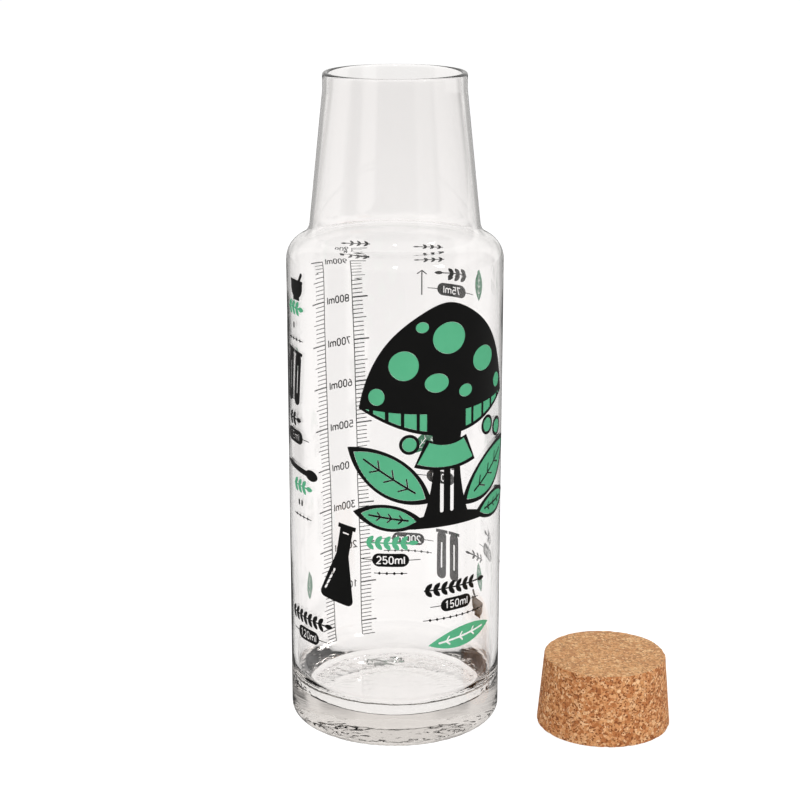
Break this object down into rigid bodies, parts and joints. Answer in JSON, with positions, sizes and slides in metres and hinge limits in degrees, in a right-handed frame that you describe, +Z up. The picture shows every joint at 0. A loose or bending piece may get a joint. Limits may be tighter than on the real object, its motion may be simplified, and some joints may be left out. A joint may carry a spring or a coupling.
{
  "type": "glass measuring bottle",
  "caption": "Clear glass carafe bottle with a printed measuring scale and pictures, and a tapered cork stopper standing beside it, for holding and pouring liquids.",
  "frame": {"origin": "on the bottle's axis, on the plane that the bottle stands on", "axes": "+Z up along the bottle's axis out of its mouth; -Y is the front; the cork stands to the right, towards +X"},
  "size_m": [0.16, 0.0882, 0.271],
  "materials": {
    "clear_glass": "clear soda-lime glass, fire polished",
    "pressed_cork": "pressed cork granules, sanded",
    "black_enamel": "fired enamel print, satin",
    "green_enamel": "fired enamel print, satin"
  },
  "bodies": {
    "bottle": {"glass_bottle": "clear_glass", "scale_rails": "black_enamel", "scale_numbers": "black_enamel", "amount_plates": "black_enamel", "fine_rules": "black_enamel", "black_sprigs": "black_enamel", "fine_sprigs": "black_enamel", "flask_picture": "black_enamel", "test_tube_pictures": "black_enamel", "dropper_picture": "black_enamel", "arrow_mark": "black_enamel", "mortar_pictures": "black_enamel", "toadstool_black": "black_enamel", "toadstool_green": "green_enamel", "green_sprigs": "green_enamel", "green_leaves": "green_enamel"},
    "stopper": {"cork_stopper": "pressed_cork"}
  },
  "joints": [
    {"name": "stopper_lift", "type": "slide", "parent": "bottle", "child": "stopper", "axis": [0, 0, 1], "range_m": [0, 0.3]}
  ]
}
